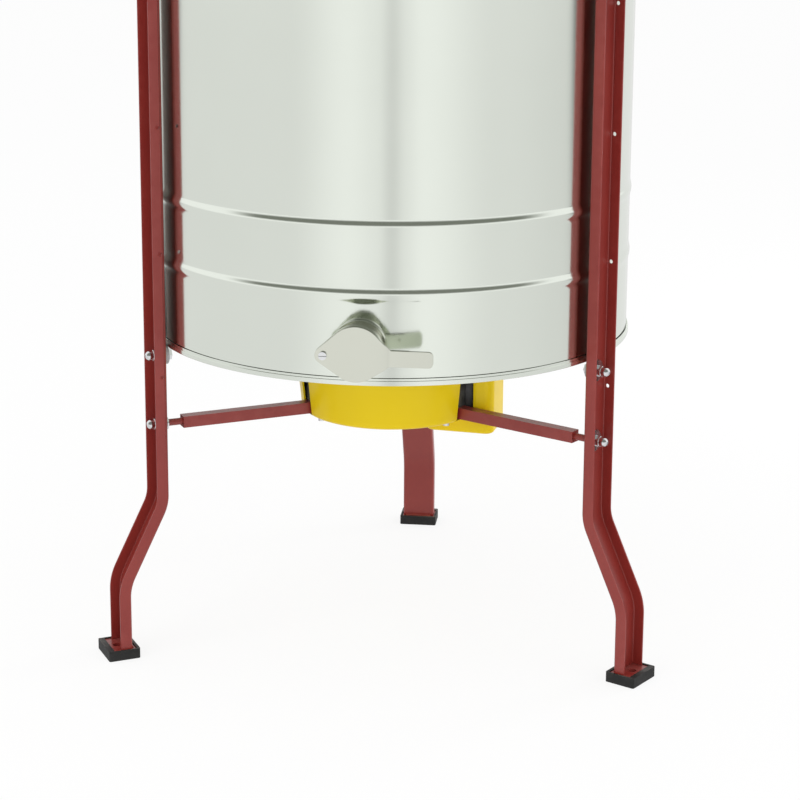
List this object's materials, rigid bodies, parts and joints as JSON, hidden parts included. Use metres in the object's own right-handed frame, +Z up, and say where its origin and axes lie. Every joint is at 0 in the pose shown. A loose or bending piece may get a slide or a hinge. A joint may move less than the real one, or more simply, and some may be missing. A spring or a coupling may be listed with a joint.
{
  "type": "radial honey extractor",
  "caption": "Bright steel drum on splayed red channel legs with a flap gate, clear lids, a spinning frame basket and a belt drive under a yellow cover.",
  "frame": {"origin": "on the floor under the drum axis, at the centre of the circle of foot anchor holes", "axes": "+Z up along the drum axis, the honey gate faces -Y, +X to the right seen from the gate"},
  "size_m": [0.7507, 0.7686, 1.0882],
  "materials": {
    "drum_steel": "bright rolled stainless sheet",
    "gate_steel": "polished stainless casting",
    "red_paint": "semi-gloss powder coat",
    "zinc": "bright zinc plating",
    "bare_steel": "machined steel",
    "basket_steel": "laser-cut stainless sheet",
    "foot_rubber": "black moulded rubber",
    "seal_rubber": "black rubber",
    "belt_rubber": "woven-faced belt",
    "yellow_plastic": "glossy moulded plastic",
    "black_paint": "black satin paint",
    "aluminium": "turned or cast aluminium",
    "nylon": "natural nylon",
    "clear_lid": "clear acrylic sheet",
    "handle_black": "black grip",
    "box_grey": "grey housing",
    "panel_grey": "dark panel",
    "green_button": "green push button",
    "red_button": "red push button"
  },
  "bodies": {
    "frame": {"drum_shell": "drum_steel", "drum_bottom": "drum_steel", "gate_body": "gate_steel", "gate_seal": "seal_rubber", "gate_pivot_screw": "zinc", "leg_left": "red_paint", "leg_right": "red_paint", "leg_rear": "red_paint", "arm_left": "red_paint", "arm_right": "red_paint", "arm_rear": "red_paint", "foot_left": "foot_rubber", "foot_right": "foot_rubber", "foot_rear": "foot_rubber", "leg_bolts": "zinc", "leg_washers": "zinc", "acorn_nuts": "zinc", "arm_inner_nuts": "zinc", "support_bushes": "box_grey", "top_spacers": "nylon", "hub_dish": "black_paint", "bearing_housings": "aluminium", "bearing_outer_races": "bare_steel", "bearing_cap": "aluminium", "shaft_seal": "seal_rubber", "motor_casing": "black_paint", "motor_bracket": "black_paint", "drive_belt": "belt_rubber", "drive_cover": "yellow_plastic", "motor_cover": "yellow_plastic", "cover_screws": "zinc", "frame_bolts": "zinc", "small_screws": "zinc", "bridge": "basket_steel", "lid_hinge_leaves": "basket_steel", "lid_hinge_pins": "zinc", "control_box": "box_grey", "control_panel": "panel_grey", "cable_glands": "handle_black"},
    "basket": {"basket_shaft": "bare_steel", "driven_pulley": "aluminium", "bearing_inner_races": "bare_steel", "basket_hubs": "aluminium", "basket_discs": "basket_steel", "basket_bands": "basket_steel", "basket_bars": "basket_steel", "basket_uprights": "basket_steel", "basket_bolts": "zinc"},
    "motor_rotor": {"motor_armature": "bare_steel", "motor_pulley": "aluminium"},
    "gate_flap": {"gate_flap": "gate_steel"},
    "lid_front": {"lid_front": "clear_lid", "lid_front_hinges": "basket_steel", "lid_front_handle": "handle_black"},
    "lid_rear": {"lid_rear": "clear_lid", "lid_rear_hinges": "basket_steel", "lid_rear_handle": "handle_black"},
    "speed_knob": {"speed_knob": "handle_black"},
    "start_button": {"start_button": "green_button"},
    "stop_button": {"stop_button": "red_button"}
  },
  "joints": [
    {"name": "basket_spin", "type": "hinge", "parent": "frame", "child": "basket", "pos_m": [0, 0, 0.6], "axis": [0, 0, 1], "continuous": true},
    {"name": "motor_spin", "type": "hinge", "parent": "frame", "child": "motor_rotor", "pos_m": [0.10879, -0.01626, 0.34], "axis": [0, 0, 1], "continuous": true},
    {"name": "gate_swing", "type": "hinge", "parent": "frame", "child": "gate_flap", "pos_m": [-0.039, -0.355, 0.4595], "axis": [0, 1, 0], "range_deg": [0, 110]},
    {"name": "lid_front_open", "type": "hinge", "parent": "frame", "child": "lid_front", "pos_m": [0, -0.0615, 1.0318], "axis": [-1, 0, 0], "range_deg": [0, 97]},
    {"name": "lid_rear_open", "type": "hinge", "parent": "frame", "child": "lid_rear", "pos_m": [0, 0.0615, 1.0318], "axis": [1, 0, 0], "range_deg": [0, 97]},
    {"name": "speed_turn", "type": "hinge", "parent": "frame", "child": "speed_knob", "pos_m": [0.35507, -0.205, 0.995], "axis": [-0.866, 0.5, 0], "range_deg": [0, 270]},
    {"name": "start_press", "type": "slide", "parent": "frame", "child": "start_button", "axis": [-0.866, 0.5, 0], "range_m": [0, 0.004], "stiffness_N_per_m": 400},
    {"name": "stop_press", "type": "slide", "parent": "frame", "child": "stop_button", "axis": [-0.866, 0.5, 0], "range_m": [0, 0.005], "stiffness_N_per_m": 400}
  ],
  "couplings": [
    {"joint": "motor_spin", "follows": "basket_spin", "ratio": 3.4091}
  ]
}
